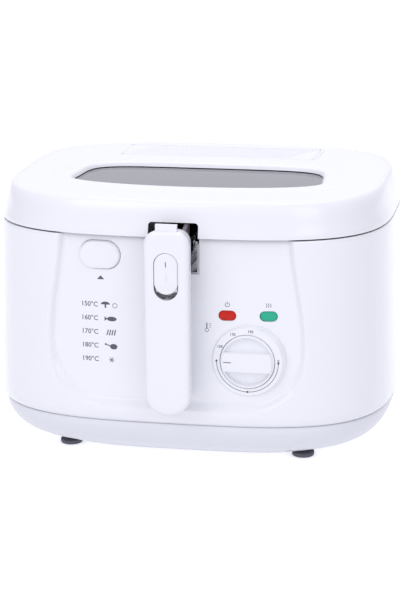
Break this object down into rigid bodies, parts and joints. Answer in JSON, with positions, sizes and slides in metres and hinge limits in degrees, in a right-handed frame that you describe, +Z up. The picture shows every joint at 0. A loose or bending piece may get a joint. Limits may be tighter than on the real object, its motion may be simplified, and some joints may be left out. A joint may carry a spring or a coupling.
{
  "type": "deep fryer",
  "caption": "Household deep fryer: white housing, hinged lid with window and steam filter, basket raised by its folding handle, thermostat dial and lamps.",
  "frame": {"origin": "on the table, under the middle of the object's box", "axes": "+X to the right seen from the front, +Y towards the hinge at the back, +Z up"},
  "size_m": [0.3648, 0.3355, 0.2382],
  "materials": {
    "outer_housing": "glossy white, softly reflecting",
    "base_pan": "satin white, slightly greyer than the housing",
    "rubber_feet": "dark grey rubber, matt",
    "base_screws": "zinc-plated steel",
    "deck_ring": "black heat-resistant moulding",
    "deck_screws": "zinc-plated steel",
    "oil_vessel": "grey non-stick coating on aluminium",
    "heating_element": "heat-browned steel sheath",
    "heat_shield": "zinc-plated sheet",
    "shield_stud": "zinc-plated steel",
    "thermal_cutout": "ceramic body",
    "thermostat_body": "cream ceramic",
    "thermostat_bracket": "zinc-plated sheet",
    "thermostat_bulb": "bare copper",
    "capillary_tube": "bare copper",
    "terminal_block": "cream moulding",
    "lead_wires": "blue insulation",
    "power_lens": "clear red moulding",
    "heating_lens": "clear green moulding",
    "lamp_holders": "cream moulding",
    "handle_guide": "bright plated sheet",
    "cord_gland": "light grey flexible moulding",
    "button_guide": "zinc-plated sheet",
    "hinge_brackets": "satin steel",
    "hinge_screws": "zinc-plated steel",
    "hinge_pins": "ground steel",
    "control_knob": "glossy white",
    "thermostat_shaft": "ground steel",
    "lid_button": "glossy white",
    "button_spring": "spring steel",
    "lid_outer": "glossy white, softly reflecting",
    "lid_liner": "plain pressed aluminium",
    "lid_gasket": "light grey silicone",
    "window_glass": "dark tinted, clear",
    "window_seal": "black silicone",
    "steam_grille": "glossy white",
    "filter_tray": "perforated pressed aluminium",
    "filter_foam": "open foam, cream",
    "filter_charcoal": "charcoal felt",
    "hinge_leaves": "satin steel",
    "leaf_screws": "zinc-plated steel",
    "lid_screws": "zinc-plated steel",
    "lid_striker": "white moulding",
    "basket_mesh": "tinned wire mesh",
    "basket_rim": "tinned wire",
    "basket_bracket": "bright plated sheet",
    "handle_pin": "ground steel",
    "handle_front": "glossy white",
    "handle_back": "satin white",
    "handle_screws": "zinc-plated steel",
    "thumb_slide": "glossy white",
    "latch_bar": "satin white",
    "slide_spring": "spring steel"
  },
  "bodies": {
    "housing": {"outer_housing": "outer_housing", "base_pan": "base_pan", "rubber_feet": "rubber_feet", "base_screws": "base_screws", "deck_ring": "deck_ring", "deck_screws": "deck_screws", "oil_vessel": "oil_vessel", "heating_element": "heating_element", "heat_shield": "heat_shield", "shield_stud": "shield_stud", "thermal_cutout": "thermal_cutout", "thermostat_body": "thermostat_body", "thermostat_bracket": "thermostat_bracket", "thermostat_bulb": "thermostat_bulb", "capillary_tube": "capillary_tube", "terminal_block": "terminal_block", "lead_wires": "lead_wires", "power_lens": "power_lens", "heating_lens": "heating_lens", "lamp_holders": "lamp_holders", "handle_guide": "handle_guide", "cord_gland": "cord_gland", "button_guide": "button_guide", "button_spring": "button_spring", "hinge_brackets": "hinge_brackets", "hinge_screws": "hinge_screws", "hinge_pins": "hinge_pins"},
    "lid": {"lid_outer": "lid_outer", "lid_liner": "lid_liner", "lid_gasket": "lid_gasket", "window_glass": "window_glass", "window_seal": "window_seal", "steam_grille": "steam_grille", "filter_tray": "filter_tray", "filter_foam": "filter_foam", "filter_charcoal": "filter_charcoal", "hinge_leaves": "hinge_leaves", "leaf_screws": "leaf_screws", "lid_screws": "lid_screws", "lid_striker": "lid_striker"},
    "basket": {"basket_mesh": "basket_mesh", "basket_rim": "basket_rim", "basket_bracket": "basket_bracket"},
    "handle": {"handle_pin": "handle_pin", "handle_front": "handle_front", "handle_back": "handle_back", "handle_screws": "handle_screws", "slide_spring": "slide_spring"},
    "slide": {"thumb_slide": "thumb_slide", "latch_bar": "latch_bar"},
    "button": {"lid_button": "lid_button"},
    "dial": {"control_knob": "control_knob", "thermostat_shaft": "thermostat_shaft"}
  },
  "joints": [
    {"name": "lid_hinge", "type": "hinge", "parent": "housing", "child": "lid", "pos_m": [0, 0.1615, 0.208], "axis": [-1, 0, 0], "range_deg": [0, 85]},
    {"name": "basket_lift", "type": "slide", "parent": "housing", "child": "basket", "axis": [0, 0, 1], "range_m": [0, 0.022]},
    {"name": "handle_fold", "type": "hinge", "parent": "basket", "child": "handle", "pos_m": [0, -0.155, 0.207], "axis": [-1, 0, 0], "range_deg": [0, 90]},
    {"name": "slide_unlock", "type": "slide", "parent": "handle", "child": "slide", "axis": [0, 0, -1], "range_m": [0, 0.0045], "stiffness_N_per_m": 200, "springref_m": -0.004, "deforming": ["slide_spring"]},
    {"name": "lid_button_push", "type": "slide", "parent": "housing", "child": "button", "axis": [0, 1, 0], "range_m": [0, 0.004], "stiffness_N_per_m": 300, "springref_m": -0.003, "deforming": ["button_spring"]},
    {"name": "thermostat_turn", "type": "hinge", "parent": "housing", "child": "dial", "pos_m": [0.0645, -0.131, 0.0985], "axis": [0, 1, 0], "range_deg": [-180, 90]}
  ],
  "couplings": [
    {"joint": "handle_fold", "follows": "basket_lift", "rad_per_m": 71.399}
  ]
}
